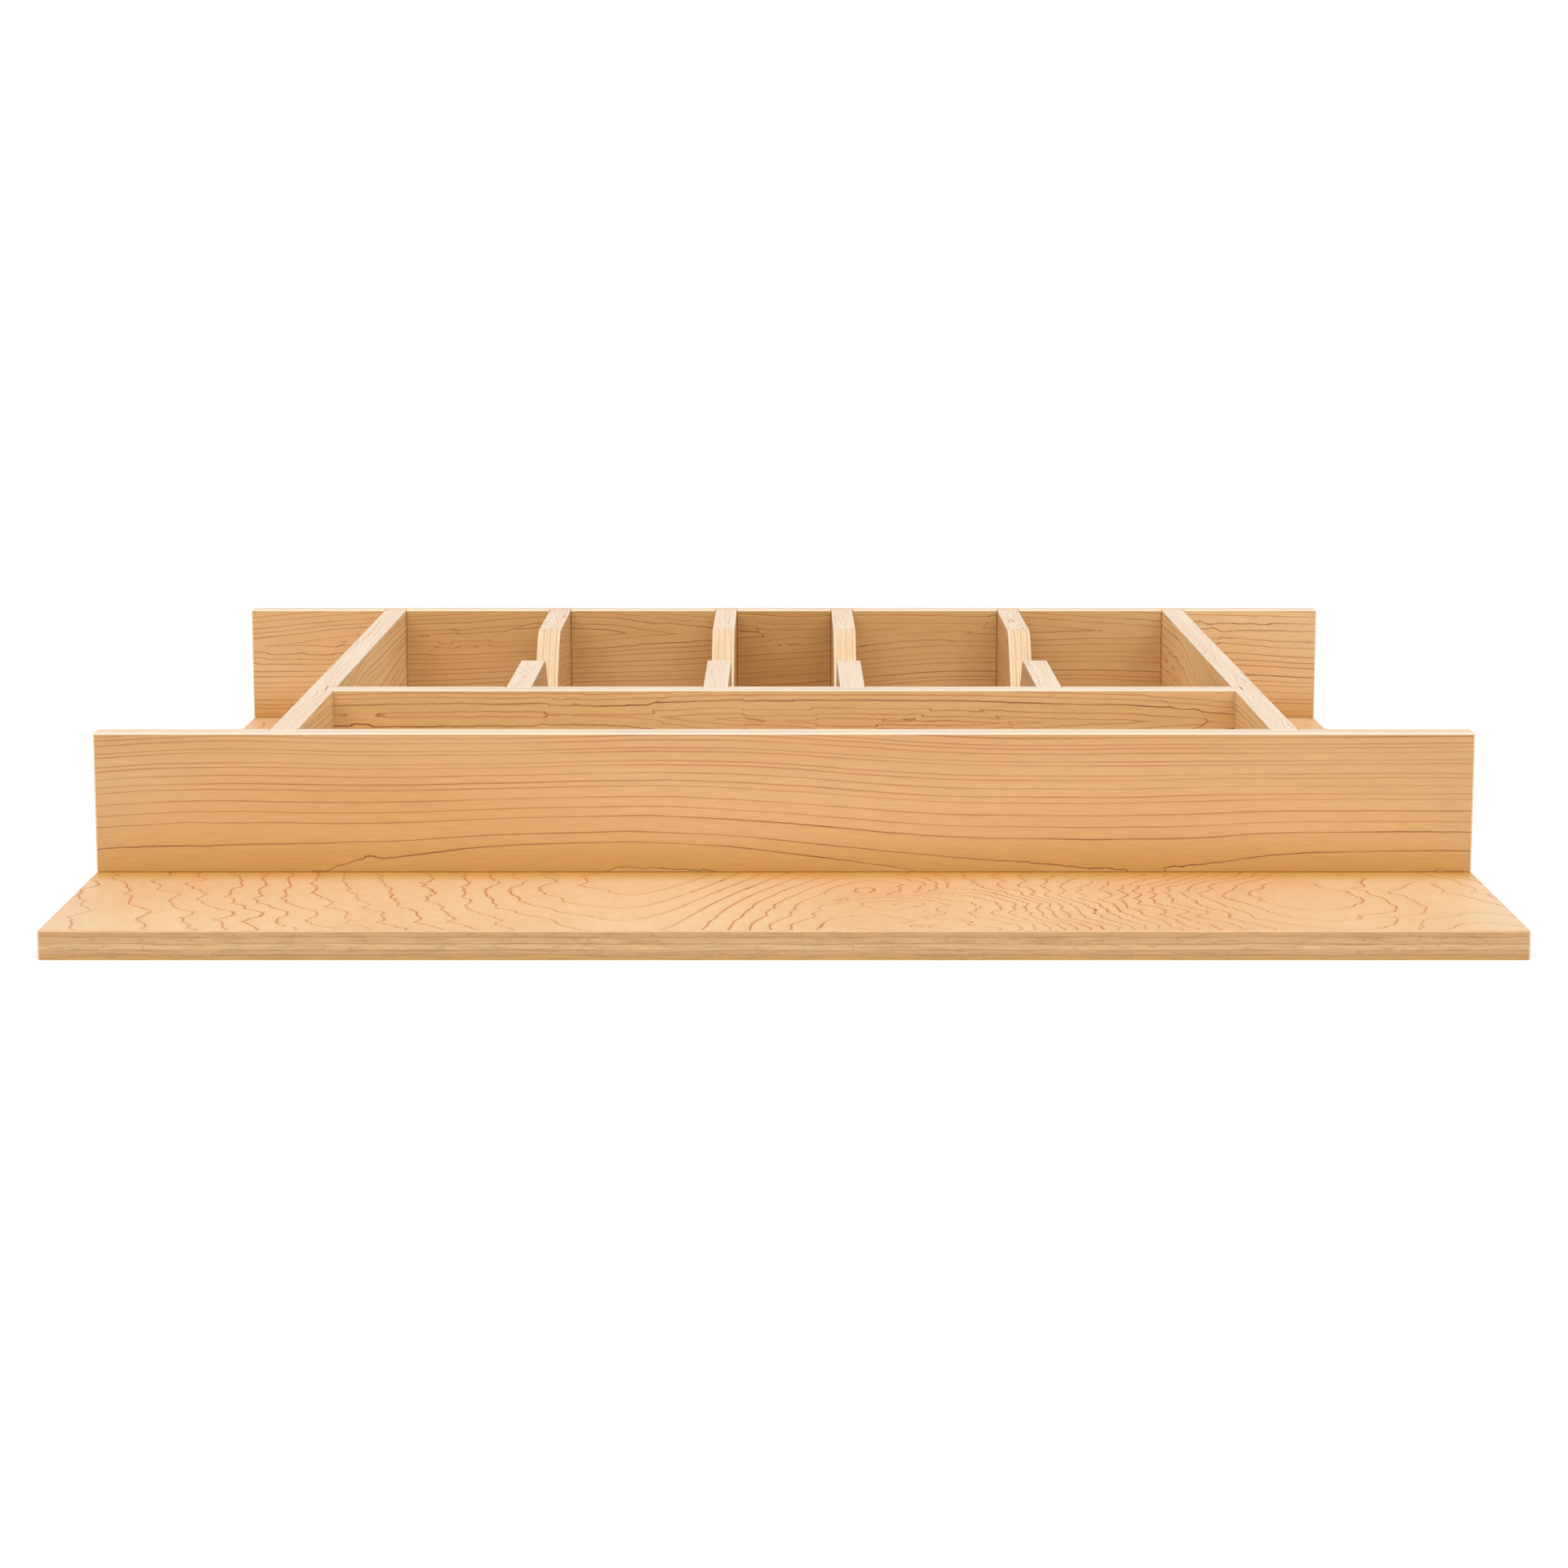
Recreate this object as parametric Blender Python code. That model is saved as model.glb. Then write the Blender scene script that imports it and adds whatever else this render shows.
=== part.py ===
"""Trim-to-fit drawer organizer insert, in maple plywood.

Nine boards are housed into each other and stand on a base panel, held from below by countersunk
screws. Metres, +Z up. The origin is under the middle of the base panel, X runs along the front
wall, and the front of the insert faces -Y.
"""
import math

import bmesh
import bpy
from mathutils import Matrix

# Overall sizes
BASE_WIDTH = 0.6096
BASE_DEPTH = 0.5588
OVERALL_HEIGHT = 0.0748

# Boards
BASE_THICKNESS = 0.0124
WALL_THICKNESS = 0.0120
BOX_WIDTH = 0.4564           # outside faces of the side walls
FRONT_FLANGE = 0.1158        # base in front of the front wall
FRONT_BAY_DEPTH = 0.1146     # front wall to cross wall
CENTRE_BAY_WIDTH = 0.0540    # between the two middle dividers
INNER_BAY_WIDTH = 0.0830     # on each side of the centre bay
HOUSING_DEPTH = 0.0040       # groove that takes the end of a board
FIT_GAP = 0.0003             # left between boards that touch

# Finger scoop in the top edge of a long divider, measured between its sharp corners
SCOOP_MOUTH = 0.1070
SCOOP_FLOOR = 0.0414
SCOOP_DEPTH = 0.0370
SCOOP_SETBACK = 0.0030       # centre of the scoop behind the middle of the long bay
SCOOP_LIP_RADIUS = 0.0200
SCOOP_FLOOR_RADIUS = 0.0200
SCOOP_ARC_STEPS = 8

# Base screws
SCREW_LENGTH = 0.0300
SCREW_SHANK_DIAMETER = 0.0035
SCREW_HEAD_DIAMETER = 0.0070
SCREW_HEAD_RIM = 0.0003
SCREW_POINT_LENGTH = 0.0045
SCREW_HEAD_SINK = 0.0004     # head below the underside of the base
SCREW_CLEARANCE = 0.0003     # between the screw and the wood around it
PILOT_EXTRA_DEPTH = 0.0010   # hole beyond the screw's point
SCREW_END_MARGIN = 0.0300    # from the end of a board to its first screw
SCREW_SIDES = 12
LONG_WALL_SCREWS = 4
SIDE_WALL_SCREWS = 3
CROSS_WALL_SCREWS = 3
DIVIDER_SCREWS = 2

MAPLE_FACE = ((0.75, 0.45, 0.21, 1.0), 0.45, 0.0)
MAPLE_BASE = ((0.83, 0.60, 0.36, 1.0), 0.45, 0.0)
ZINC_PLATE = ((0.62, 0.62, 0.60, 1.0), 0.35, 1.0)

# Places that follow from the sizes above
FRONT_EDGE = -BASE_DEPTH / 2
BACK_EDGE = BASE_DEPTH / 2
FRONT_WALL_FRONT = FRONT_EDGE + FRONT_FLANGE
FRONT_WALL_BACK = FRONT_WALL_FRONT + WALL_THICKNESS
CROSS_FRONT = FRONT_WALL_BACK + FRONT_BAY_DEPTH
CROSS_BACK = CROSS_FRONT + WALL_THICKNESS
BACK_WALL_FRONT = BACK_EDGE - WALL_THICKNESS
SIDE_OUTSIDE = BOX_WIDTH / 2
SIDE_INSIDE = SIDE_OUTSIDE - WALL_THICKNESS
WALL_FOOT = BASE_THICKNESS + FIT_GAP
BOARD_END_INSET = HOUSING_DEPTH - FIT_GAP
GROOVE_WIDTH = WALL_THICKNESS + 2 * FIT_GAP


def clear_scene():
    for old in list(bpy.data.objects):
        bpy.data.objects.remove(old, do_unlink=True)


def plain_material(name, finish):
    colour, roughness, metallic = finish
    material = bpy.data.materials.new(name)
    material.use_nodes = True
    shader = material.node_tree.nodes["Principled BSDF"]
    shader.inputs["Base Color"].default_value = colour
    shader.inputs["Roughness"].default_value = roughness
    shader.inputs["Metallic"].default_value = metallic
    material.diffuse_color = colour
    return material


def add_object(name, mesh, finish=None):
    piece = bpy.data.objects.new(name, mesh)
    bpy.context.scene.collection.objects.link(piece)
    if finish:
        mesh.materials.append(plain_material(name + "_finish", finish))
    return piece


def extruded_outline(name, outline, finish, start, end, axis="Z"):
    """A board: a closed outline, swept from start to end along Z (outline in X, Y) or X (in Y, Z)."""
    mesh = bmesh.new()
    if axis == "Z":
        corners = [mesh.verts.new((a, b, start)) for a, b in outline]
        travel = (0.0, 0.0, end - start)
    else:
        corners = [mesh.verts.new((start, a, b)) for a, b in outline]
        travel = (end - start, 0.0, 0.0)
    face = mesh.faces.new(corners)
    swept = bmesh.ops.extrude_face_region(mesh, geom=[face])
    moved = [item for item in swept["geom"] if isinstance(item, bmesh.types.BMVert)]
    bmesh.ops.translate(mesh, verts=moved, vec=travel)
    bmesh.ops.recalc_face_normals(mesh, faces=mesh.faces)
    data = bpy.data.meshes.new(name)
    mesh.to_mesh(data)
    mesh.free()
    return add_object(name, data, finish)


def grooved_edge(start, end, face, into, centres):
    """Points along one face of a board, from start to end, with a groove at each centre."""
    half = GROOVE_WIDTH / 2
    way = 1 if end > start else -1
    points = [(start, face)]
    for centre in sorted(centres, reverse=way < 0):
        near = centre - way * half
        far = centre + way * half
        points += [(near, face), (near, into), (far, into), (far, face)]
    points.append((end, face))
    return points


def housed_wall(name, half_length, front, back, front_grooves=(), back_grooves=()):
    """A wall along X, with grooves that run its full height."""
    outline = grooved_edge(-half_length, half_length, front, front + HOUSING_DEPTH, front_grooves)
    outline += grooved_edge(half_length, -half_length, back, back - HOUSING_DEPTH, back_grooves)
    return extruded_outline(name, outline, MAPLE_FACE, WALL_FOOT, OVERALL_HEIGHT)


def side_wall(name, side):
    """A side wall, with the groove for the cross wall in its inner face."""
    front = FRONT_WALL_BACK - BOARD_END_INSET
    back = BACK_WALL_FRONT + BOARD_END_INSET
    cross_centre = (CROSS_FRONT + CROSS_BACK) / 2
    inner = grooved_edge(front, back, SIDE_INSIDE, SIDE_INSIDE + HOUSING_DEPTH, [cross_centre])
    outer = [(back, SIDE_OUTSIDE), (front, SIDE_OUTSIDE)]
    outline = [(side * across, along) for along, across in inner + outer]
    return extruded_outline(name, outline, MAPLE_FACE, WALL_FOOT, OVERALL_HEIGHT)


def rounded_corner(before, corner, after, radius):
    """Points of the arc that rounds a corner of an outline."""
    way_in = math.atan2(before[1] - corner[1], before[0] - corner[0])
    way_out = math.atan2(after[1] - corner[1], after[0] - corner[0])
    opening = math.remainder(way_out - way_in, math.tau)
    middle = way_in + opening / 2
    to_centre = radius / math.sin(abs(opening) / 2)
    centre_x = corner[0] + to_centre * math.cos(middle)
    centre_y = corner[1] + to_centre * math.sin(middle)
    sweep = math.copysign(math.pi - abs(opening), opening)
    points = []
    for step in range(SCOOP_ARC_STEPS + 1):
        angle = middle + math.pi + sweep * (0.5 - step / SCOOP_ARC_STEPS)
        points.append((centre_x + radius * math.cos(angle), centre_y + radius * math.sin(angle)))
    return points


def scooped_outline():
    """Side view (Y, Z) of a long divider."""
    front = CROSS_BACK - BOARD_END_INSET
    back = BACK_WALL_FRONT + BOARD_END_INSET
    middle = (CROSS_BACK + BACK_WALL_FRONT) / 2 + SCOOP_SETBACK
    floor = OVERALL_HEIGHT - SCOOP_DEPTH
    corners = [
        (front, OVERALL_HEIGHT),
        (middle - SCOOP_MOUTH / 2, OVERALL_HEIGHT),
        (middle - SCOOP_FLOOR / 2, floor),
        (middle + SCOOP_FLOOR / 2, floor),
        (middle + SCOOP_MOUTH / 2, OVERALL_HEIGHT),
        (back, OVERALL_HEIGHT),
    ]
    radii = (SCOOP_LIP_RADIUS, SCOOP_FLOOR_RADIUS, SCOOP_FLOOR_RADIUS, SCOOP_LIP_RADIUS)
    outline = [(back, WALL_FOOT), (front, WALL_FOOT), corners[0]]
    for index, radius in enumerate(radii, start=1):
        outline += rounded_corner(corners[index - 1], corners[index], corners[index + 1], radius)
    outline.append(corners[-1])
    return outline


def divider_centres():
    inner = CENTRE_BAY_WIDTH / 2 + WALL_THICKNESS / 2
    outer = inner + INNER_BAY_WIDTH + WALL_THICKNESS
    return [-outer, -inner, inner, outer]


def spaced(first, last, count):
    return [first + (last - first) * step / (count - 1) for step in range(count)]


def screw_rows():
    """Screw places by board: the board's name and the X, Y of each screw in its lower edge."""
    long_end = BASE_WIDTH / 2 - SCREW_END_MARGIN
    cross_end = SIDE_INSIDE - SCREW_END_MARGIN
    side_centre = (SIDE_INSIDE + SIDE_OUTSIDE) / 2
    side_ys = spaced(FRONT_WALL_BACK + SCREW_END_MARGIN, BACK_WALL_FRONT - SCREW_END_MARGIN,
                     SIDE_WALL_SCREWS)
    divider_ys = spaced(CROSS_BACK + SCREW_END_MARGIN, BACK_WALL_FRONT - SCREW_END_MARGIN,
                        DIVIDER_SCREWS)
    front_y = (FRONT_WALL_FRONT + FRONT_WALL_BACK) / 2
    back_y = (BACK_WALL_FRONT + BACK_EDGE) / 2
    cross_y = (CROSS_FRONT + CROSS_BACK) / 2
    rows = {
        "front_wall": [(x, front_y) for x in spaced(-long_end, long_end, LONG_WALL_SCREWS)],
        "back_wall": [(x, back_y) for x in spaced(-long_end, long_end, LONG_WALL_SCREWS)],
        "cross_wall": [(x, cross_y) for x in spaced(-cross_end, cross_end, CROSS_WALL_SCREWS)],
        "side_wall_left": [(-side_centre, y) for y in side_ys],
        "side_wall_right": [(side_centre, y) for y in side_ys],
    }
    for number, x in enumerate(divider_centres(), start=1):
        rows[f"long_divider_{number}"] = [(x, y) for y in divider_ys]
    return rows


def turned_body(name, profile):
    """A closed body of revolution about Z; the profile lists (radius, height) from bottom to top."""
    mesh = bmesh.new()
    rings = []
    for radius, height in profile:
        if radius == 0.0:
            rings.append([mesh.verts.new((0.0, 0.0, height))])
            continue
        ring = []
        for step in range(SCREW_SIDES):
            angle = math.tau * step / SCREW_SIDES
            ring.append(mesh.verts.new((radius * math.cos(angle), radius * math.sin(angle), height)))
        rings.append(ring)
    for lower, upper in zip(rings, rings[1:]):
        for step in range(SCREW_SIDES):
            after = (step + 1) % SCREW_SIDES
            if len(upper) == 1:
                mesh.faces.new((lower[step], lower[after], upper[0]))
            else:
                mesh.faces.new((lower[step], lower[after], upper[after], upper[step]))
    mesh.faces.new(rings[0])
    if len(rings[-1]) > 1:
        mesh.faces.new(rings[-1])
    bmesh.ops.recalc_face_normals(mesh, faces=mesh.faces)
    data = bpy.data.meshes.new(name)
    mesh.to_mesh(data)
    mesh.free()
    data.shade_smooth()
    data.set_sharp_from_angle(angle=math.radians(35))
    return data


def screw_mesh():
    head = SCREW_HEAD_DIAMETER / 2
    shank = SCREW_SHANK_DIAMETER / 2
    bottom = SCREW_HEAD_SINK
    neck = bottom + SCREW_HEAD_RIM + (head - shank)
    profile = [
        (head, bottom),
        (head, bottom + SCREW_HEAD_RIM),
        (shank, neck),
        (shank, bottom + SCREW_LENGTH - SCREW_POINT_LENGTH),
        (0.0, bottom + SCREW_LENGTH),
    ]
    mesh = turned_body("base_screw", profile)
    mesh.materials.append(plain_material("base_screw_finish", ZINC_PLATE))
    return mesh


def hole_mesh():
    """The screw's hole: a countersink through the base and a pilot hole above it."""
    head = SCREW_HEAD_DIAMETER / 2 + SCREW_CLEARANCE
    shank = SCREW_SHANK_DIAMETER / 2 + SCREW_CLEARANCE
    rim = SCREW_HEAD_SINK + SCREW_HEAD_RIM
    below = -BASE_THICKNESS / 2
    profile = [
        (head, below),
        (head, rim),
        (shank, rim + head - shank),
        (shank, SCREW_HEAD_SINK + SCREW_LENGTH + PILOT_EXTRA_DEPTH),
    ]
    return turned_body("screw_hole", profile)


def cut_holes(board, name, places):
    """Cut the screw holes of one board with one cutter."""
    hole = hole_mesh()
    mesh = bmesh.new()
    for x, y in places:
        before = len(mesh.verts)
        mesh.from_mesh(hole)
        mesh.verts.ensure_lookup_table()
        bmesh.ops.transform(mesh, matrix=Matrix.Translation((x, y, 0.0)), verts=mesh.verts[before:])
    data = bpy.data.meshes.new(name)
    mesh.to_mesh(data)
    mesh.free()
    cutter = add_object(name, data)
    cutter.hide_render = True
    cutter.display_type = "WIRE"
    cut = board.modifiers.new("screw_holes", "BOOLEAN")
    cut.operation = "DIFFERENCE"
    cut.solver = "EXACT"
    cut.object = cutter


def base_panel():
    half = BASE_WIDTH / 2
    outline = [(-half, FRONT_EDGE), (half, FRONT_EDGE), (half, BACK_EDGE), (-half, BACK_EDGE)]
    return extruded_outline("base_panel", outline, MAPLE_BASE, 0.0, BASE_THICKNESS)


def build_boards():
    side_centre = (SIDE_INSIDE + SIDE_OUTSIDE) / 2
    dividers = divider_centres()
    boards = {
        "front_wall": housed_wall("front_wall", BASE_WIDTH / 2, FRONT_WALL_FRONT, FRONT_WALL_BACK,
                                  back_grooves=[-side_centre, side_centre]),
        "back_wall": housed_wall("back_wall", BASE_WIDTH / 2, BACK_WALL_FRONT, BACK_EDGE,
                                 front_grooves=[-side_centre, *dividers, side_centre]),
        "cross_wall": housed_wall("cross_wall", SIDE_INSIDE + BOARD_END_INSET, CROSS_FRONT, CROSS_BACK,
                                  back_grooves=dividers),
        "side_wall_left": side_wall("side_wall_left", -1),
        "side_wall_right": side_wall("side_wall_right", 1),
    }
    outline = scooped_outline()
    for number, centre in enumerate(dividers, start=1):
        name = f"long_divider_{number}"
        left = centre - WALL_THICKNESS / 2
        right = centre + WALL_THICKNESS / 2
        boards[name] = extruded_outline(name, outline, MAPLE_FACE, left, right, axis="X")
    return boards


def build():
    clear_scene()
    boards = build_boards()
    base = base_panel()
    rows = screw_rows()
    for name, places in rows.items():
        cut_holes(boards[name], name + "_holes", places)
    every_place = [place for places in rows.values() for place in places]
    cut_holes(base, "base_panel_holes", every_place)
    screw = screw_mesh()
    for number, (x, y) in enumerate(every_place, start=1):
        piece = add_object(f"base_screw_{number:02d}", screw)
        piece.location = (x, y, 0.0)


build()
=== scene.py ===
import math
from collections import namedtuple

import bmesh
import bpy
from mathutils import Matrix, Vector


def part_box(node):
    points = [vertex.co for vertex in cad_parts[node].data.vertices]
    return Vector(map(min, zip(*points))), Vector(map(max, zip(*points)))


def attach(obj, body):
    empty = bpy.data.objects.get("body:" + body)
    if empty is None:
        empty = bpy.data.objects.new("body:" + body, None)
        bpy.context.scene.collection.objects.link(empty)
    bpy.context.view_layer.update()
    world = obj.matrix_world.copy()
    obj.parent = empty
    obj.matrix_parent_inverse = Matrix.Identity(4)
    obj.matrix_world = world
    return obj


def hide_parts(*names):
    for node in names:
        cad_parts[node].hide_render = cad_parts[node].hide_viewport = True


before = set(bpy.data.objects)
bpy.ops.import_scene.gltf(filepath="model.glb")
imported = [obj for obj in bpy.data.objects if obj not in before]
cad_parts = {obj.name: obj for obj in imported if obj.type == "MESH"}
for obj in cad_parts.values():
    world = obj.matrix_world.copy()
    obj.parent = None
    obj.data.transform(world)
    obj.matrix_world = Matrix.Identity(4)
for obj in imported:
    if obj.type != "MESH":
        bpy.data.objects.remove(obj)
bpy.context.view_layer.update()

# A trim-to-fit drawer organizer insert in clear-lacquered maple. Metres, +Z up, front towards -Y.
# Each board is a finished piece with eased edges that stands for its plain board in the frame.

BODY = "root"

# Making
HOUSING_GAP = 0.0003         # between a board and the groove that it sits in
EASED_EDGE = 0.0007          # radius that sanding leaves on a sawn edge
EASED_EDGE_STEPS = 3
EASED_ANGLE = math.radians(40)
SEATING_TOLERANCE = 0.00005  # two faces this close lie in one plane
WELD = 0.000002              # points this close are one
BOARD_PLIES = 7
SQUARELY = 0.95              # cosine of how far a broad face may lean

# Finger scoop in a long divider, between its sharp corners
SCOOP_MOUTH = 0.1070
SCOOP_FLOOR = 0.0414
SCOOP_DEPTH = 0.0370
SCOOP_SETBACK = 0.0030
SCOOP_RADIUS = 0.0200
SCOOP_CORNER_STEPS = 14

# Base screws
SCREW_HEAD = 0.0070
SCREW_HEAD_RIM = 0.0003
SCREW_SHANK = 0.0035
SCREW_CORE = 0.0024          # root of the thread
SCREW_PITCH = 0.0016
SCREW_POINT = 0.0045
SCREW_RECESS_WIDTH = 0.0044  # across the cross in the head
SCREW_RECESS_DEPTH = 0.0021
SCREW_RECESS_BLADE = 0.0011
SCREW_RECESS_WELD = 0.000004
SCREW_SIDES = 16
SCREW_HEAD_ROWS = 4          # middle of the head, its rim twice, and the neck
SCREW_ROWS = 84
SCREW_SHARP_ANGLE = math.radians(35)
SCREW_SEED = 4
HOLE_CLEARANCE = 0.0003
HOLE_SIDES = 32
THROUGH = 0.0020             # how far a cutter passes the face that it opens

THROUGH_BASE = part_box("base_panel")[1].z + THROUGH

WALLS = ("front_wall", "back_wall", "cross_wall", "side_wall_left", "side_wall_right")
DIVIDERS = tuple(f"long_divider_{number}" for number in range(1, 5))
SCREWS = tuple(sorted(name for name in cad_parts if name.startswith("base_screw_")))

# Material places on a board
FACE, SAWN, ARRIS, BAND = range(4)

# The boards whose ends sit in grooves of each wall
GUESTS = {
    "front_wall": ("side_wall_left", "side_wall_right"),
    "back_wall": ("side_wall_left", *DIVIDERS, "side_wall_right"),
    "cross_wall": DIVIDERS,
    "side_wall_left": ("cross_wall",),
    "side_wall_right": ("cross_wall",),
}

# How each board was sawn from its log. The heart lay at depth and height from the board's middle
# and wandered; ring is a year's growth, tip how pointed the rings' ends are (0 to 1), opening how
# much the rings widen towards the heart (1 for not at all), and seed picks the board.
Figure = namedtuple("Figure", "depth height wander ring tip opening seed")
FIGURE_LABELS = ("Heart Depth", "Heart Height", "Wander", "Ring Width", "Tip", "Opening", "Seed")
FIGURES = {
    "front_wall": Figure(0.020, -0.034, 0.026, 0.0040, 0.0, 1.8, 61.0),
    "back_wall": Figure(0.008, 0.013, 0.034, 0.0029, 0.7, 1.0, 11.0),
    "cross_wall": Figure(0.006, 0.015, 0.030, 0.0027, 0.8, 1.0, 7.0),
    "side_wall_left": Figure(0.026, -0.006, 0.050, 0.0024, 0.3, 1.0, 19.0),
    "side_wall_right": Figure(-0.028, 0.004, 0.060, 0.0024, 0.3, 1.0, 23.0),
    "long_divider_1": Figure(0.030, -0.020, 0.046, 0.0019, 0.3, 1.0, 31.0),
    "long_divider_2": Figure(-0.034, 0.014, 0.046, 0.0019, 0.3, 1.0, 37.0),
    "long_divider_3": Figure(0.036, 0.010, 0.046, 0.0019, 0.3, 1.0, 41.0),
    "long_divider_4": Figure(-0.030, -0.016, 0.046, 0.0019, 0.3, 1.0, 47.0),
}
LOG_RADIUS = 0.070           # where a board's rings are as wide as opening leaves them
HEART_CORE = 0.0025          # the rings' ends are blunt within this
HEART_REACH = (0.002, 0.017)  # how far from the heart the wild figure starts and stops fading
RING_PROBE = 0.00012         # step over which the rings' slope is measured
KINK_WIDENING = 0.0004       # how much wider a line is where it is torn

# How much paler or deeper than plain maple each board is, in red, green and blue: partly each board's own
# tone and partly painted light and shade, paler for the boards inside the box and deeper for the front
# wall
TONES_AND_PAINTED_LIGHT = {
    "front_wall": (0.86, 0.82, 0.72),
    "back_wall": (0.96, 1.0, 1.01),
    "cross_wall": (0.98, 1.07, 1.08),
    "side_wall_left": (0.98, 1.03, 1.10),
    "side_wall_right": (0.98, 1.03, 1.10),
}
# own tone and painted shade: the dividers stand in the shaded bays
DIVIDER_TONE_AND_SHADE = (0.90, 0.93, 0.86)
INSIDE_PAINTED_LIGHT = (1.20, 1.31, 1.27, 1.0)         # painted light that makes the side walls' inner faces paler
BAY_SHADE = (0.85, 0.865, 0.76, 1.0)           # painted shade on the back wall within the bays
MIDDLE_BAY_SHADE = (0.76, 0.71, 0.52, 1.0)     # and deeper painted shade within the narrow middle one
BAY_SHADE_FADE = 0.016
PALEST = 0.95                # no wood sends back more light than this share
FOOT_SHADE = 0.022           # height over which painted shade deepens the colour towards the foot of a board
CORNER_SHADE = 0.024         # and how far painted shade deepens the base in front of the front wall

# How curly the lines are along each board's top
CURLS = {"side_wall_left": 0.5, "front_wall": 0.7, "back_wall": 0.7, "cross_wall": 0.7}
DIVIDER_CURL = 1.6


# ---------------------------------------------------------------- wiring of node trees

class Wiring:
    """Short names for wiring the nodes of one shader or geometry tree."""

    def __init__(self, tree):
        self.tree = tree

    def node(self, kind, sources=None, **settings):
        """A new node; sources gives what each socket gets, by the socket's name or number."""
        made = self.tree.nodes.new(kind)
        for key, value in settings.items():
            setattr(made, key, value)
        for key, value in (sources or {}).items():
            self.feed(made.inputs[key], value)
        return made

    def feed(self, socket, value):
        """Link a socket to an output, or to a node's first one, or give it a plain value."""
        if isinstance(value, bpy.types.Node):
            value = value.outputs[0]
        if isinstance(value, bpy.types.NodeSocket):
            self.tree.links.new(value, socket)
        else:
            socket.default_value = value

    def math(self, operation, *values):
        return self.node("ShaderNodeMath", dict(enumerate(values)), operation=operation).outputs[0]

    def plus(self, first, second):
        return self.math("ADD", first, second)

    def minus(self, first, second):
        return self.math("SUBTRACT", first, second)

    def times(self, first, second, more=None):
        """The product, and a third value more where it is given."""
        if more is None:
            return self.math("MULTIPLY", first, second)
        return self.math("MULTIPLY_ADD", first, second, more)

    def gap(self, first, second):
        return self.math("ABSOLUTE", self.minus(first, second))

    def vector(self, operation, *values):
        made = self.node("ShaderNodeVectorMath", dict(enumerate(values)), operation=operation)
        return made.outputs["Value" if operation == "LENGTH" else "Vector"]

    def parts(self, vector):
        return tuple(self.node("ShaderNodeSeparateXYZ", {0: vector}).outputs)

    def whole(self, x=0.0, y=0.0, z=0.0):
        return self.node("ShaderNodeCombineXYZ", {0: x, 1: y, 2: z}).outputs[0]

    def noise(self, place, stretch, shift=(0, 0, 0), detail=2.0, roughness=0.5, colour=False):
        """Smooth noise, 0 to 1, on a place that is stretched (features per metre) and shifted."""
        scaled = self.vector("MULTIPLY_ADD", place, stretch, shift)
        made = self.node("ShaderNodeTexNoise", {
            "Vector": scaled, "Scale": 1.0, "Detail": detail, "Roughness": roughness})
        return made.outputs["Color" if colour else "Fac"]

    def fade(self, value, low, high, start=0.0, end=1.0):
        """Smooth step of a value from start at low to end at high."""
        return self.node("ShaderNodeMapRange", {
            "Value": value, "From Min": low, "From Max": high, "To Min": start, "To Max": end,
        }, interpolation_type="SMOOTHSTEP").outputs["Result"]

    def blend(self, factor, first, second, how="MIX"):
        sources = {"Factor": factor, 6: first, 7: second}
        return self.node("ShaderNodeMix", sources, data_type="RGBA", blend_type=how).outputs[2]

    def tint(self, colour, by):
        return self.blend(1.0, colour, by, "MULTIPLY")

    def steps(self, value, stops, kind="CONSTANT"):
        """Colours along a value; stops lists (position, colour)."""
        made = self.node("ShaderNodeValToRGB", {"Fac": value})
        ramp = made.color_ramp
        ramp.interpolation = kind
        while len(ramp.elements) < len(stops):
            ramp.elements.new(0.5)
        for element, (position, colour) in zip(ramp.elements, stops):
            element.position = position
            element.color = colour
        return made.outputs["Color"]


def rgb(red, green, blue):
    """A linear colour from the eight-bit numbers of a paint card."""
    def linear(number):
        share = number / 255
        return share / 12.92 if share <= 0.04045 else ((share + 0.055) / 1.055) ** 2.4
    return (linear(red), linear(green), linear(blue), 1.0)


def new_tree(name, kind, inputs, outputs):
    """An empty node tree; returns its wiring, and the sockets of its inputs and its outputs."""
    tree = bpy.data.node_groups.new(name, kind)
    for way, sockets in (("INPUT", inputs), ("OUTPUT", outputs)):
        for label, carries in sockets.items():
            tree.interface.new_socket(label, in_out=way, socket_type="NodeSocket" + carries)
    wire = Wiring(tree)
    return wire, wire.node("NodeGroupInput").outputs, wire.node("NodeGroupOutput").inputs


def new_material(name):
    material = bpy.data.materials.new(name)
    material.use_nodes = True
    material.node_tree.nodes.clear()
    return material, Wiring(material.node_tree)


def finish_shader(wire, colour, roughness, height, relief, lacquer=0.25, gloss=0.5, metallic=0.0):
    """The surface: its colour, roughness and fine relief, under a thin satin coat if lacquered."""
    bump = wire.node("ShaderNodeBump", {"Strength": 1.0, "Distance": relief, "Height": height})
    shader = wire.node("ShaderNodeBsdfPrincipled", {
        "Base Color": colour, "Roughness": roughness, "Normal": bump, "Metallic": metallic,
        "Specular IOR Level": gloss, "Coat Weight": lacquer, "Coat Roughness": 0.35,
    })
    wire.node("ShaderNodeOutputMaterial", {"Surface": shader})


# ---------------------------------------------------------------- growth rings

def rings_group(name, inputs):
    inputs = {"Place": "Vector", **dict.fromkeys(inputs, "Float")}
    return new_tree(name, "ShaderNodeTree", inputs, {"Rings": "Float", "Kink": "Float"})


def seeded(wire, seed, x, y, z):
    """A shift that carries each board into its own part of the noise."""
    return wire.vector("MULTIPLY", wire.whole(seed, seed, seed), (x, y, z))


def creased(wire, place, stretch, shift, detail=1.0):
    """Noise folded at its middle, so that what it bends gets sharp corners. 0 to about 0.5."""
    smooth = wire.noise(place, stretch, shift, detail)
    return wire.gap(smooth, 0.5)


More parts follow.
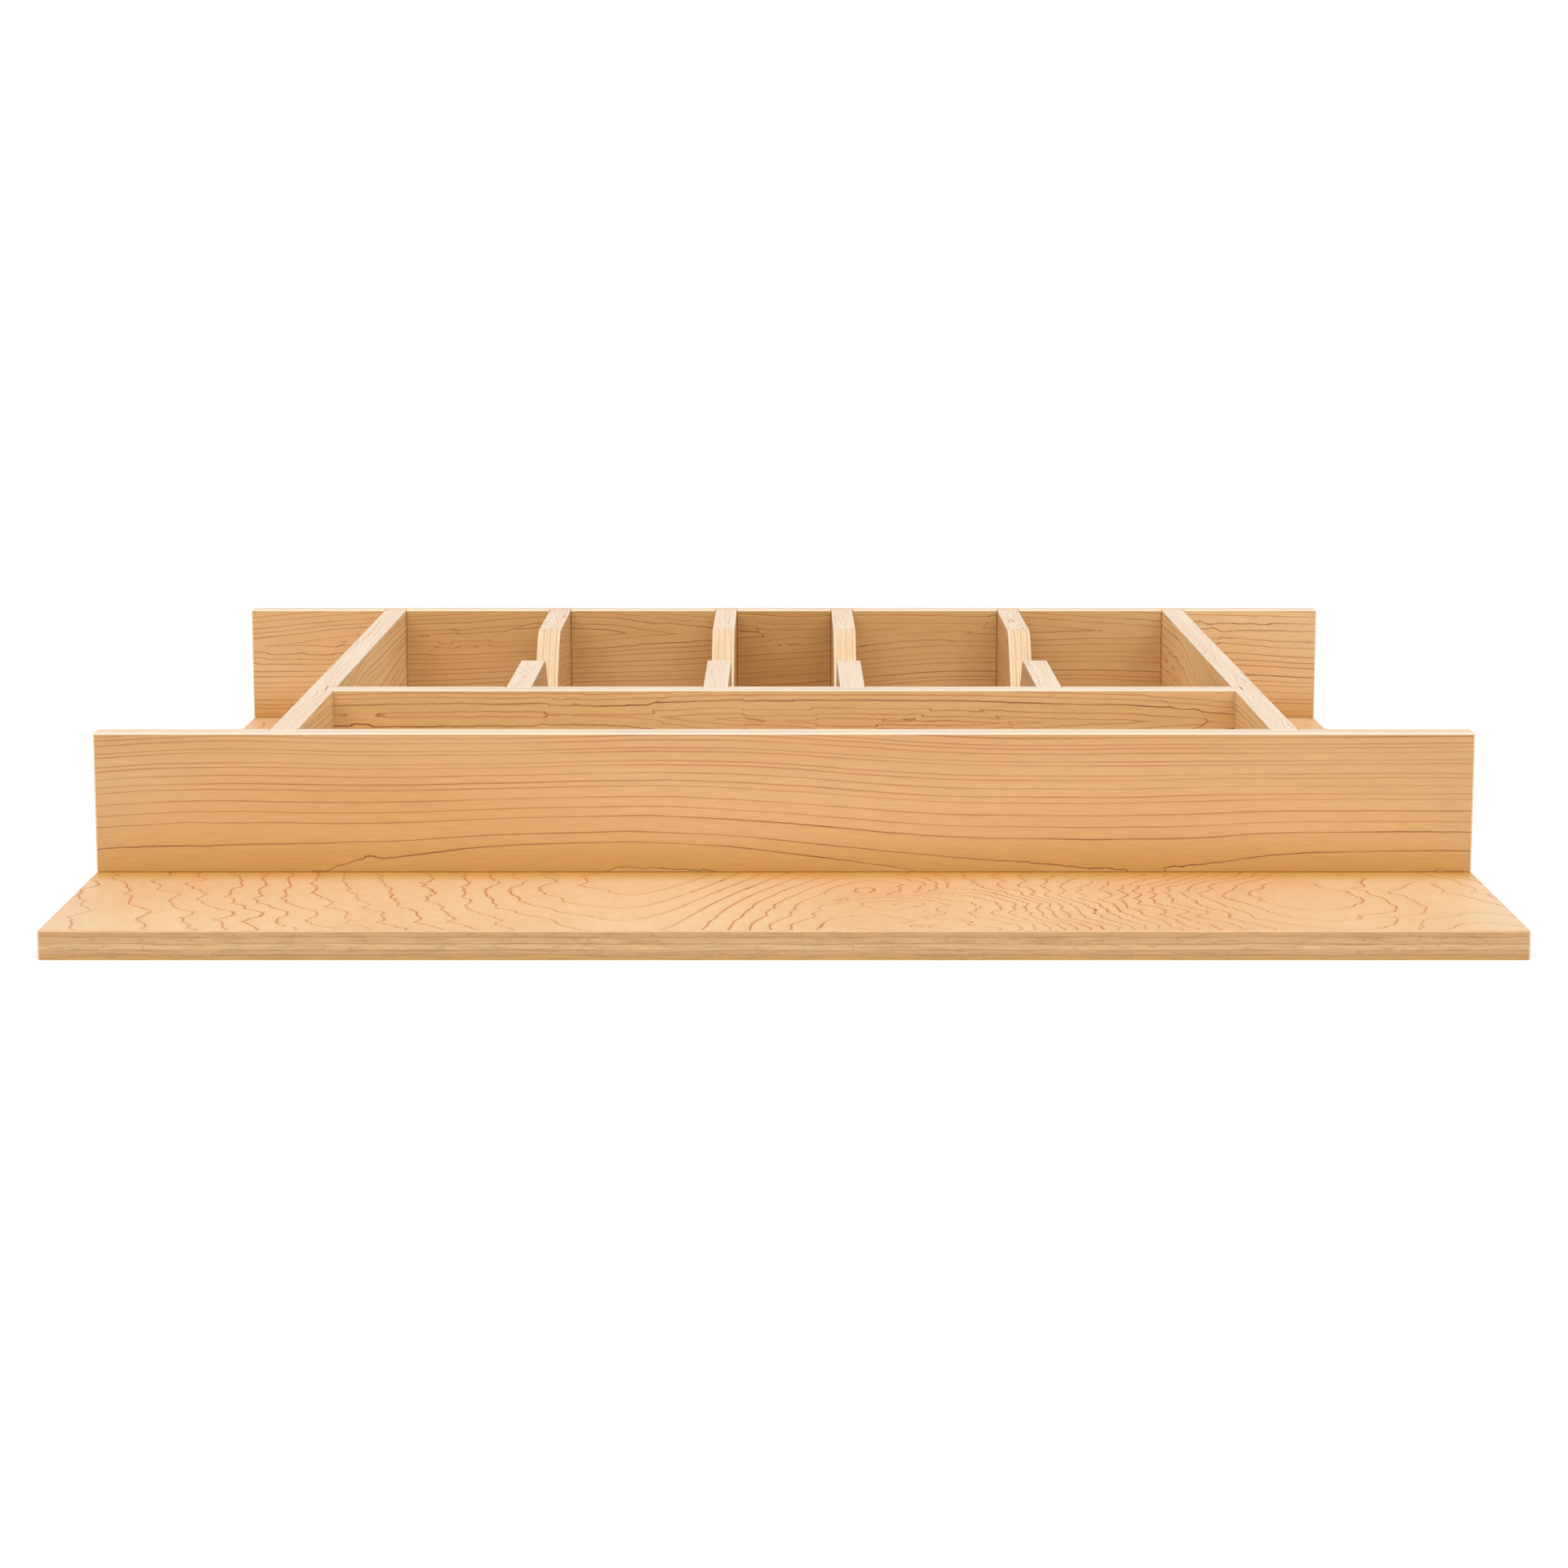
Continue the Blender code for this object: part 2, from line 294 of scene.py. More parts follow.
def make_flat_sawn_rings():
    """Growth rings where a board was sawn from a log: X along the grain, Y depth, Z across the face."""
    wire, given, result = rings_group("flat_sawn_rings", FIGURE_LABELS)
    place, seed = given["Place"], given["Seed"]
    drift = wire.noise(place, (3.0, 6.0, 4.0), seeded(wire, seed, 1.7, 0.9, 2.3), 1.0, colour=True)
    drift_depth, drift_height, _ = wire.parts(wire.vector("SUBTRACT", drift, (0.5, 0.5, 0.5)))
    fold = creased(wire, place, (11.0, 20.0, 26.0), seeded(wire, seed, 0.6, 2.1, 1.1))
    jag = wire.noise(place, (120.0, 160.0, 240.0), seeded(wire, seed, 3.1, 0.7, 0.4), 3.0, 0.6)
    fault = wire.noise(place, (15.0, 12.0, 34.0), seeded(wire, seed, 2.6, 1.4, 0.8), 2.0)
    _, depth, height = wire.parts(place)
    depth = wire.minus(depth, given["Heart Depth"])
    depth = wire.times(drift_depth, given["Wander"], depth)
    height = wire.minus(height, given["Heart Height"])
    height = wire.times(drift_height, given["Wander"], height)
    off_heart = wire.math("ABSOLUTE", height)
    round_ended = wire.vector("LENGTH", wire.whole(0.0, depth, height))
    pointed = wire.plus(wire.vector("LENGTH", wire.whole(0.0, depth, HEART_CORE)), off_heart)
    near_heart = wire.fade(off_heart, *HEART_REACH, 1.0, 0.0)
    radius = wire.minus(pointed, round_ended)
    radius = wire.times(radius, given["Tip"], round_ended)
    fold_height = wire.times(near_heart, 0.0026, 0.0020)
    radius = wire.times(fold, fold_height, radius)
    tear_height = wire.times(near_heart, 0.0010, 0.00020)
    radius = wire.times(wire.minus(jag, 0.5), tear_height, radius)
    stepped = wire.fade(fault, 0.49, 0.51)
    radius = wire.times(stepped, wire.times(near_heart, 0.0009), radius)
    opened = wire.math("POWER", wire.math("DIVIDE", radius, LOG_RADIUS), given["Opening"])
    rings = wire.math("DIVIDE", wire.times(opened, LOG_RADIUS), given["Ring Width"])
    uneven = wire.noise(wire.whole(rings, seed, 0.0), (0.45, 1.0, 1.0), detail=1.0)
    wire.feed(result["Rings"], wire.times(uneven, 2.6, rings))
    in_step = wire.times(wire.math("PINGPONG", stepped, 0.5), 2.0)
    wire.feed(result["Kink"], wire.times(in_step, near_heart))
    return wire.tree


def make_rotary_cut_rings():
    """Growth rings on a sheet peeled round the log: a contour map with jagged lines. Z is ignored."""
    wire, given, result = rings_group("rotary_cut_rings", ("Ring Count", "Trend", "Seed"))
    place, seed = given["Place"], given["Seed"]
    sway = creased(wire, place, (9.0, 17.0, 0.0), seeded(wire, seed, 0.5, 1.9, 0.2), 2.0)
    jag = wire.noise(place, (70.0, 120.0, 0.0), seeded(wire, seed, 1.3, 0.8, 2.0), 3.0, 0.62)
    bend = wire.times(sway, 0.075)
    bend = wire.times(wire.minus(jag, 0.5), 0.0075, bend)
    moved = wire.vector("ADD", place, wire.whole(bend, 0.0, 0.0))
    hills = wire.noise(moved, (5.2, 3.4, 0.0), seeded(wire, seed, 2.2, 1.2, 0.9), 1.0, 0.35)
    steep = wire.noise(place, (2.2, 1.2, 0.0), seeded(wire, seed, 0.9, 0.4, 1.4), 0.0)
    steep = wire.fade(steep, 0.38, 0.62, 0.45, 1.35)
    rings = wire.times(wire.times(hills, steep), given["Ring Count"])
    across, along, _ = wire.parts(moved)
    slanted = wire.times(along, -0.45, across)
    wire.feed(result["Rings"], wire.times(slanted, given["Trend"], rings))
    off_middle = wire.gap(jag, 0.5)
    wire.feed(result["Kink"], wire.fade(off_middle, 0.1, 0.2))
    return wire.tree


def ring_lines(wire, group, place, across, settings, line_width, spread=1.0):
    """Latewood lines of even width: (line, place within the ring, kink, each 0 to 1, rings per metre).

    Where the lines run square to the X axis they are line_width wide, and where they run along it
    they are wider by 1 / spread.
    """
    def grown_at(spot):
        return wire.node("ShaderNodeGroup", {"Place": spot, **settings}, node_tree=group).outputs

    grown = grown_at(place)
    rings, kink = grown["Rings"], grown["Kink"]
    line_width = wire.times(kink, KINK_WIDENING, line_width)
    along_step = wire.vector("ADD", place, (RING_PROBE, 0.0, 0.0))
    across_step = wire.vector("ADD", place, tuple(RING_PROBE * share for share in across))
    rise = [wire.minus(grown_at(spot)["Rings"], rings) for spot in (along_step, across_step)]
    slope = wire.vector("LENGTH", wire.whole(rise[0], wire.times(rise[1], spread), 0.0))
    slope = wire.math("DIVIDE", wire.math("MAXIMUM", slope, 0.0005), RING_PROBE)
    nearest = wire.math("PINGPONG", rings, 0.5)
    distance = wire.math("DIVIDE", nearest, slope)
    line = wire.fade(distance, wire.times(line_width, 0.2), line_width, 1.0, 0.0)
    return line, wire.math("FRACT", rings), kink, slope


# ---------------------------------------------------------------- wood

# Clear-lacquered maple, as colours under even white light; the foot and corner shades among them are
# painted shade, and the pale arris partly a painted highlight
FACE_PALE = rgb(233, 191, 139)
FACE_DEEP = rgb(224, 175, 114)
# painted shade at the foot of a board
FACE_FOOT_SHADE = rgb(200, 146, 70)
FACE_LINE = rgb(170, 98, 44)
FACE_DARK_LINE = rgb(124, 64, 24)
FACE_FLECK = rgb(112, 58, 22)
SHEET_PALE = rgb(244, 206, 158)
SHEET_DEEP = rgb(236, 189, 136)
SHEET_LINE = rgb(204, 124, 54)
SHEET_DARK_LINE = rgb(168, 92, 38)
# painted shade on the base in front of the front wall
SHEET_SHADE = rgb(218, 163, 76)
BAND_PALE = rgb(244, 222, 197)
BAND_DEEP = rgb(240, 214, 186)
BAND_LINE = rgb(178, 122, 82)
PLY_PALE = rgb(240, 212, 174)
PLY_DEEP = rgb(230, 193, 150)
PLY_LINE = rgb(204, 154, 100)
# pale bared wood and a painted highlight along the walls' eased edges
ARRIS_PALE_AND_HIGHLIGHT = rgb(250, 230, 196)
BASE_ARRIS = rgb(222, 178, 128)


def board_place(wire, centre, along):
    """The place on a board from its middle: X along the grain, Y through the board, Z up."""
    turn = math.radians(90) if along == "Y" else 0.0
    place = wire.node("ShaderNodeTexCoord").outputs["Object"]
    return wire.node("ShaderNodeMapping", {
        "Vector": place, "Location": centre, "Rotation": (0.0, 0.0, turn),
    }, vector_type="TEXTURE").outputs[0]


def fibres(wire, place, seed):
    """Fine fibre streaks along the grain, 0 to 1."""
    return wire.noise(place, (70.0, 1100.0, 1300.0), (seed, seed * 0.7, seed * 1.3), 3.0, 0.65)


def streaked(wire, colour, fibre, dark, light):
    """A colour that the fibres make a little darker or lighter."""
    streak = wire.fade(fibre, 0.28, 0.72, dark, light)
    return wire.tint(colour, wire.whole(streak, streak, streak))


def pin_flecks(wire, place, seed, share):
    """A few small dark flecks, drawn out along the grain."""
    spread = wire.vector("MULTIPLY_ADD", place, (16.0, 10.0, 46.0), (seed, seed * 2.0, seed * 0.3))
    cells = wire.node("ShaderNodeTexVoronoi", {"Vector": spread, "Scale": 1.0}, feature="F1")
    rough = wire.noise(place, (400.0, 500.0, 900.0))
    distance = wire.times(rough, 0.035, cells.outputs["Distance"])
    chosen, _, _ = wire.parts(cells.outputs["Color"])
    spot = wire.fade(distance, 0.028, 0.052, 0.8, 0.0)
    return wire.times(spot, wire.math("LESS_THAN", chosen, share))


def toned(colour, tone):
    """A wood colour made paler or deeper."""
    return tuple(min(part * share, PALEST) for part, share in zip(colour, tone)) + (1.0,)


def maple_face(name, centre, along, figure, tone, half_height, bays=None, inside=None):
    """The broad face of a flat-sawn maple board: thin brown lines, close together and then wild.

    bays is for a board that closes off the bays: half the width of the middle one, and of them all;
    painted shade deepens the face within them.
    inside is for a side wall: the sign of the depth at which its inner face lies, which gets painted
    light.
    """
    material, wire = new_material(name)
    place = board_place(wire, centre, along)
    seed = figure.seed
    shift = (seed, seed * 0.5, seed * 1.9)
    strength = wire.noise(place, (12.0, 20.0, 120.0), shift, 2.0)
    width = wire.times(strength, 0.00042, 0.00020)
    settings = dict(zip(FIGURE_LABELS, figure))
    line, within, kink, slope = ring_lines(wire, FLAT_SAWN, place, (0.0, 0.0, 1.0), settings, width)
    wild = wire.fade(slope, 60.0, 360.0, 1.0, 0.0)
    fibre = fibres(wire, place, seed)
    cloud = wire.noise(place, (4.0, 10.0, 22.0), shift, 2.0)
    colour = wire.blend(wire.fade(cloud, 0.3, 0.7), toned(FACE_PALE, tone), toned(FACE_DEEP, tone))
    lengthwise, depth, up = wire.parts(place)
    # Painted light: the side walls' inner faces are made paler
    if inside:
        turned_in = wire.math("GREATER_THAN", wire.times(depth, inside), 0.0)
        colour = wire.blend(turned_in, colour, wire.tint(colour, INSIDE_PAINTED_LIGHT))
    # Painted shade: the back wall is deeper within the bays, most in the narrow middle one
    if bays:
        middle_bay, all_bays = bays
        off_middle = wire.math("ABSOLUTE", lengthwise)
        outward = wire.fade(off_middle, middle_bay, middle_bay + BAY_SHADE_FADE)
        deeper = wire.blend(outward, MIDDLE_BAY_SHADE, BAY_SHADE)
        in_a_bay = wire.math("LESS_THAN", off_middle, all_bays)
        in_a_bay = wire.times(in_a_bay, wire.math("LESS_THAN", depth, 0.0))
        colour = wire.blend(in_a_bay, colour, wire.tint(colour, deeper))
    # Painted shade: the colour deepens towards the board's foot
    painted_foot_shade = wire.fade(up, -half_height, FOOT_SHADE - half_height, 0.8, 0.0)
    colour = wire.blend(painted_foot_shade, colour, FACE_FOOT_SHADE)
    late = wire.times(wire.math("POWER", within, 4.0), 0.60)
    colour = wire.blend(late, colour, toned(FACE_DEEP, tone))
    colour = streaked(wire, colour, fibre, 0.93, 1.05)
    darkest = wire.math("MAXIMUM", wild, kink)
    ink = wire.times(line, wire.fade(strength, 0.3, 0.7, 0.5, 1.0))
    ink = wire.times(ink, wire.times(darkest, 0.32, 0.66))
    colour = wire.blend(ink, colour, wire.blend(darkest, FACE_LINE, FACE_DARK_LINE))
    colour = wire.blend(pin_flecks(wire, place, seed, 0.12), colour, FACE_FLECK)
    # A thin darker line just under the eased top edge
    glue = wire.fade(up, half_height - EASED_EDGE - 0.0006, half_height - EASED_EDGE, 0.0, 0.35)
    colour = wire.blend(glue, colour, FACE_LINE)
    roughness = wire.fade(fibre, 0.2, 0.8, 0.42, 0.54)
    relief = wire.times(line, -0.5, fibre)
    finish_shader(wire, colour, roughness, relief, 0.00004)
    return material


def maple_band(name, centre, along, curliness, seed):
    """The strip along the top of a board: pale, with thin lines that run along it or curl."""
    material, wire = new_material(name)
    place = board_place(wire, centre, along)
    _, through, _ = wire.parts(place)
    curl = creased(wire, place, (20.0, 60.0, 0.0), (seed, seed * 0.4, 0.0))
    drift = wire.noise(place, (7.0, 12.0, 0.0), (0.0, seed, seed), 1.0)
    jag = wire.noise(place, (130.0, 200.0, 0.0), (seed, 0.0, 0.0), 2.0)
    field = wire.times(through, 330.0)
    field = wire.times(curl, 5.0 * curliness, field)
    field = wire.times(drift, 4.0, field)
    field = wire.times(jag, 0.3 * curliness, field)
    line = wire.fade(wire.math("PINGPONG", field, 0.5), 0.02, 0.075, 1.0, 0.0)
    strength = wire.noise(place, (14.0, 120.0, 0.0), (seed, seed, 0.0), 2.0)
    fibre = fibres(wire, place, seed)
    cloud = wire.noise(place, (10.0, 140.0, 0.0), (seed, seed, 0.0), 2.0)
    colour = wire.blend(wire.fade(cloud, 0.35, 0.65), BAND_PALE, BAND_DEEP)
    colour = streaked(wire, colour, fibre, 0.97, 1.02)
    ink = wire.times(line, wire.fade(strength, 0.35, 0.65, 0.10, 0.75))
    colour = wire.blend(ink, colour, BAND_LINE)
    roughness = wire.fade(fibre, 0.2, 0.8, 0.6, 0.7)
    finish_shader(wire, colour, roughness, fibre, 0.000012, lacquer=0.05, gloss=0.3)
    return material


def sawn_plies(name, centre, along, thickness, seed):
    """A sawn edge of a board: thin upright layers in cream and pale tan, with glue lines between."""
    material, wire = new_material(name)
    place = board_place(wire, centre, along)
    _, through, _ = wire.parts(place)
    wobble = wire.noise(place, (40.0, 80.0, 40.0), (seed, 0.0, seed), 2.0)
    layer = wire.times(wire.minus(wobble, 0.5), 0.0010, through)
    layer = wire.times(layer, BOARD_PLIES / thickness, 0.5 * BOARD_PLIES)
    line = wire.fade(wire.math("PINGPONG", layer, 0.5), 0.03, 0.14, 1.0, 0.0)
    other = wire.math("GREATER_THAN", wire.math("PINGPONG", layer, 1.0), 0.5)
    grain = wire.noise(place, (70.0, 2400.0, 70.0), (seed, seed, 0.0), 3.0, 0.6)
    colour = wire.blend(wire.times(other, 0.7), PLY_PALE, PLY_DEEP)
    colour = streaked(wire, colour, grain, 0.94, 1.03)
    strength = wire.noise(place, (30.0, 300.0, 30.0), (seed, 0.0, 0.0), 2.0)
    ink = wire.times(line, wire.fade(strength, 0.3, 0.7, 0.25, 0.85))
    colour = wire.blend(ink, colour, PLY_LINE)
    relief = wire.times(line, -0.6, grain)
    finish_shader(wire, colour, wire.fade(grain, 0.2, 0.8, 0.55, 0.68), relief, 0.00006, lacquer=0.1)
    return material


def sanded_arris_and_highlight(name, seed, pale, deep):
    """The eased edge itself, where sanding has bared the wood; on the walls its pale colour is also a
    painted highlight.
    """
    material, wire = new_material(name)
    coordinates = wire.node("ShaderNodeTexCoord").outputs["Object"]
    worn = wire.noise(coordinates, (160.0, 160.0, 160.0), (seed, seed, seed), 3.0)
    colour = wire.blend(wire.fade(worn, 0.3, 0.7), pale, deep)
    finish_shader(wire, colour, wire.fade(worn, 0.2, 0.8, 0.5, 0.62), worn, 0.00003)
    return material


def peeled_sheet(name, centre):
    """The broad faces of the base: rotary-cut maple veneer with wild, jagged ring lines."""
    material, wire = new_material(name)
    place = wire.vector("MULTIPLY", board_place(wire, centre, "X"), (-1.0, 1.0, 1.0))
    seed = 5.0
    strength = wire.noise(place, (30.0, 18.0, 0.0), (seed, 0.0, 0.0), 2.0)
    width = wire.times(strength, 0.0008, 0.0003)
    settings = {"Ring Count": 30.0, "Trend": 58.0, "Seed": seed}
    line, within, kink, _ = ring_lines(wire, ROTARY_CUT, place, (0.0, 1.0, 0.0), settings, width, 0.4)
    fibre = wire.noise(place, (260.0, 90.0, 0.0), (0.0, seed, 0.0), 4.0, 0.65)
    cloud = wire.noise(place, (8.0, 6.0, 0.0), (seed, seed, 0.0), 2.0)
    colour = wire.blend(wire.fade(cloud, 0.3, 0.7), SHEET_PALE, SHEET_DEEP)
    late = wire.times(wire.math("POWER", within, 4.0), 0.45)
    colour = wire.blend(late, colour, SHEET_DEEP)
    _, back_to_front, up = wire.parts(place)
    # Painted shade on the top face of the base in front of the front wall
    from_wall = wire.minus(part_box("front_wall")[0].y - centre.y, back_to_front)
    painted_corner_shade = wire.fade(wire.math("ABSOLUTE", from_wall), 0.0, CORNER_SHADE, 1.0, 0.0)
    painted_corner_shade = wire.times(painted_corner_shade, wire.math("GREATER_THAN", up, 0.0))
    colour = wire.blend(painted_corner_shade, colour, SHEET_SHADE)
    colour = streaked(wire, colour, fibre, 0.95, 1.03)
    ink = wire.times(line, wire.fade(strength, 0.3, 0.7, 0.7, 1.0))
    colour = wire.blend(ink, colour, wire.blend(kink, SHEET_LINE, SHEET_DARK_LINE))
    relief = wire.times(line, -0.5, fibre)
    finish_shader(wire, colour, wire.fade(fibre, 0.2, 0.8, 0.42, 0.54), relief, 0.00004)
    return material


# The base's layers from the underside up: where each starts, as a share of the thickness
BASE_LAYERS = (
    (0.00, rgb(213, 166, 98)),
    (0.17, rgb(218, 173, 124)),
    (0.33, rgb(231, 191, 137)),
    (0.54, rgb(222, 179, 127)),
    (0.77, rgb(215, 170, 120)),
)


def layered_edge(name, box):
    """The sawn edge of the base: thick layers, with a dark line between them and streaks in each."""
    low, high = box
    thickness = high.z - low.z
    material, wire = new_material(name)
    place = wire.node("ShaderNodeTexCoord").outputs["Object"]
    _, _, height = wire.parts(place)
    wobble = wire.noise(place, (26.0, 26.0, 90.0), (2.0, 5.0, 0.0), 3.0, 0.55)
    share = wire.times(wire.minus(wobble, 0.5), 0.0016, height)
    share = wire.math("DIVIDE", wire.minus(share, low.z), thickness)
    colour = wire.steps(share, BASE_LAYERS)
    fine = wire.noise(place, (60.0, 60.0, 1500.0), (0.0, 0.0, 3.0), 4.0, 0.6)
    streaks = ((0.25, rgb(212, 206, 194)), (0.5, rgb(247, 244, 238)), (0.75, rgb(255, 255, 255)))
    colour = wire.tint(colour, wire.steps(fine, streaks, "LINEAR"))
    seam = None
    for start, _ in BASE_LAYERS[1:]:
        gap = wire.gap(share, start)
        near = wire.fade(gap, 0.0, 0.035, 1.0, 0.0)
        seam = near if seam is None else wire.math("MAXIMUM", seam, near)
    strength = wire.noise(place, (24.0, 24.0, 300.0), (7.0, 7.0, 0.0), 2.0)
    ink = wire.times(seam, wire.fade(strength, 0.3, 0.7, 0.2, 0.75))
    colour = wire.blend(ink, colour, rgb(164, 118, 72))
    wave = wire.noise(place, (48.0, 48.0, 420.0), (1.0, 9.0, 4.0), 3.0)
    vein = wire.fade(wire.gap(wave, 0.5), 0.0, 0.022, 0.5, 0.0)
    colour = wire.blend(vein, colour, rgb(172, 126, 80))
    relief = wire.times(seam, -0.6, fine)
    finish_shader(wire, colour, wire.fade(fine, 0.2, 0.8, 0.55, 0.7), relief, 0.00008, lacquer=0.1)
    return material


def zinc_steel(name):
    """Bright zinc plate with a faint brushed turning pattern and dull patches."""
    material, wire = new_material(name)
    place = wire.node("ShaderNodeTexCoord").outputs["Object"]
    patch = wire.noise(place, (900.0, 900.0, 900.0), detail=3.0)
    turned = wire.noise(place, (300.0, 300.0, 6000.0))
    colour = wire.blend(wire.fade(patch, 0.3, 0.7), rgb(196, 197, 196), rgb(166, 167, 168))
    roughness = wire.fade(patch, 0.25, 0.75, 0.24, 0.42)
    finish_shader(wire, colour, roughness, turned, 0.00002, lacquer=0.0, metallic=1.0)
    return material


# ---------------------------------------------------------------- boards

def board_object(name, mesh, materials):
    piece = bpy.data.objects.new(name, mesh)
    bpy.context.scene.collection.objects.link(piece)
    for material in materials:
        mesh.materials.append(material)
    return piece


def grooved_side(start, end, face, grooves):
    """One side of a plan outline from start to end; grooves lists (near, far, floor)."""
    points = [(start, face)]
    for near, far, floor in sorted(grooves, reverse=end < start):
        first, last = (near, far) if end > start else (far, near)
        points += [(first, face), (first, floor), (last, floor), (last, face)]
    points.append((end, face))
    return points


def plan_outline(name):
    """A wall seen from above, with a groove round the end of each guest board."""
    low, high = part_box(name)
    runs_along_x = high.x - low.x > high.y - low.y
    long_way, short_way = (0, 1) if runs_along_x else (1, 0)
    near_side, far_side = [], []
    for guest in GUESTS[name]:
        guest_low, guest_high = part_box(guest)
        width = (guest_low[long_way] - HOUSING_GAP, guest_high[long_way] + HOUSING_GAP)
        if guest_low[short_way] > low[short_way]:
            far_side.append((*width, guest_low[short_way] - HOUSING_GAP))
        else:
            near_side.append((*width, guest_high[short_way] + HOUSING_GAP))
    outline = grooved_side(low[long_way], high[long_way], low[short_way], near_side)
    outline += grooved_side(high[long_way], low[long_way], high[short_way], far_side)
    return outline if runs_along_x else [(short, long) for long, short in outline]


def stack_rings(shape, rings):
    """Add a closed solid: walls between rings of corners that lie one above the other, and two ends."""
    rings = [[shape.verts.new(corner) for corner in ring] for ring in rings]
    for lower, upper in zip(rings, rings[1:]):
        for step in range(len(lower)):
            after = (step + 1) % len(lower)
            shape.faces.new((lower[step], lower[after], upper[after], upper[step]))
    shape.faces.new(rings[0])
    shape.faces.new(rings[-1])


def raised_board(name, outline, foot, top):
    """A board from its plan outline. The edges of its plain block are marked to be eased, but not at its
    foot.
    """
    shape = bmesh.new()
    stack_rings(shape, [[(x, y, height) for x, y in outline] for height in (foot, top)])
    bmesh.ops.recalc_face_normals(shape, faces=shape.faces)
    low = Vector((min(x for x, _ in outline), min(y for _, y in outline), foot))
    high = Vector((max(x for x, _ in outline), max(y for _, y in outline), top))
    weight = shape.edges.layers.float.new("bevel_weight_edge")
    for edge in shape.edges:
        middle = (edge.verts[0].co + edge.verts[1].co) / 2
        outer = sum(min(abs(middle[way] - low[way]), abs(middle[way] - high[way])) < SEATING_TOLERANCE
                    for way in range(3))
        edge[weight] = 1.0 if outer >= 2 and middle.z > foot + SEATING_TOLERANCE else 0.0
    mesh = bpy.data.meshes.new(name)
    shape.to_mesh(mesh)
    shape.free()
    return mesh


def mark_sharp_edges(piece, foot):
    """Mark a board's corners to be eased, but not those at its foot."""
    shape = bmesh.new()
    shape.from_mesh(piece.data)
    weight = shape.edges.layers.float.new("bevel_weight_edge")
    for edge in shape.edges:
        above_foot = max(vertex.co.z for vertex in edge.verts) > foot + SEATING_TOLERANCE
        edge[weight] = 1.0 if above_foot and edge.calc_face_angle(0.0) > EASED_ANGLE else 0.0
    shape.to_mesh(piece.data)
    shape.free()


def ease_edges(piece):
    """Round the marked edges; the rounded strips are the piece's arrises."""
    ease = piece.modifiers.new("eased_edges", "BEVEL")
    ease.width = EASED_EDGE
    ease.segments = EASED_EDGE_STEPS
    ease.limit_method = "WEIGHT"
    ease.material = ARRIS


def settle(piece):
    """Turn a piece and its modifiers into one plain mesh."""
    depsgraph = bpy.context.evaluated_depsgraph_get()
    finished = bpy.data.meshes.new_from_object(piece.evaluated_get(depsgraph), depsgraph=depsgraph)
    finished.name = piece.name + "_mesh"
    piece.modifiers.clear()
    piece.data = finished


def paint_by_facing(piece, facing, band_height=math.inf):
    """Broad faces look along the facing axis; the other faces are sawn, or banded at the top."""
    way = "XYZ".index(facing)
    for polygon in piece.data.polygons:
        if polygon.material_index == ARRIS:
            continue
        if abs(polygon.normal[way]) > SQUARELY:
            polygon.material_index = FACE
        elif polygon.center.z > band_height - SEATING_TOLERANCE:
            polygon.material_index = BAND
        else:
            polygon.material_index = SAWN


def shade_curves(piece):
    """Smooth shading along an arris and round a scoop or hole; every other edge stays crisp."""
    shape = bmesh.new()
    shape.from_mesh(piece.data)
    for face in shape.faces:
        face.smooth = True
    for edge in shape.edges:
        kinds = {face.material_index for face in edge.link_faces}
        edge.smooth = len(kinds) == 1 and edge.calc_face_angle(0.0) < EASED_ANGLE
    shape.to_mesh(piece.data)
    shape.free()


def place_in_frame(piece, nodes):
    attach(piece, BODY)
    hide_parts(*nodes)


def board_materials(name, along):
    low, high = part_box(name)
    centre = (low + high) / 2
    thickness = min(high.x - low.x, high.y - low.y)
    figure = FIGURES[name]
    seed = figure.seed
    bays = None
    if name == "back_wall":
        bays = (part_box("long_divider_3")[0].x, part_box("side_wall_right")[0].x)
    inside = {"side_wall_left": -1.0, "side_wall_right": 1.0}.get(name)
    tone = TONES_AND_PAINTED_LIGHT.get(name, DIVIDER_TONE_AND_SHADE)
    return (
        maple_face(name + "_face", centre, along, figure, tone, (high.z - low.z) / 2, bays, inside),
        sawn_plies(name + "_plies", centre, along, thickness, seed),
        sanded_arris_and_highlight(name + "_arris", seed, ARRIS_PALE_AND_HIGHLIGHT, BAND_PALE),
        maple_band(name + "_band", centre, along, CURLS.get(name, DIVIDER_CURL), seed),
    )


def make_wall(name):
    low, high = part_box(name)
    along = "X" if high.x - low.x > high.y - low.y else "Y"
    mesh = raised_board(name, plan_outline(name), low.z, high.z)
    piece = board_object(name + "_board", mesh, board_materials(name, along))
    ease_edges(piece)
    settle(piece)
    drill(piece, pilot_profile())
    paint_by_facing(piece, "Y" if along == "X" else "X", high.z)
    shade_curves(piece)
    place_in_frame(piece, [name])


def screw_places():
    """X, Y of each base screw."""
    boxes = [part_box(name) for name in SCREWS]
    return [((low.x + high.x) / 2, (low.y + high.y) / 2) for low, high in boxes]


def countersink_profile():
    """Radius and height up a countersunk hole through the base."""
    head = SCREW_HEAD / 2 + HOLE_CLEARANCE
    shank = SCREW_SHANK / 2 + HOLE_CLEARANCE
    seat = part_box(SCREWS[0])[0].z + SCREW_HEAD_RIM + HOLE_CLEARANCE
    return (head, -THROUGH), (head, seat), (shank, seat + head - shank), (shank, THROUGH_BASE)


def pilot_profile():
    """Radius and height up a pilot hole in a board, blind above the screw's point."""
    foot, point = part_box("front_wall")[0].z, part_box(SCREWS[0])[1].z
    radius = SCREW_SHANK / 2 + HOLE_CLEARANCE
    return (radius, foot - THROUGH), (radius, point + HOLE_CLEARANCE)


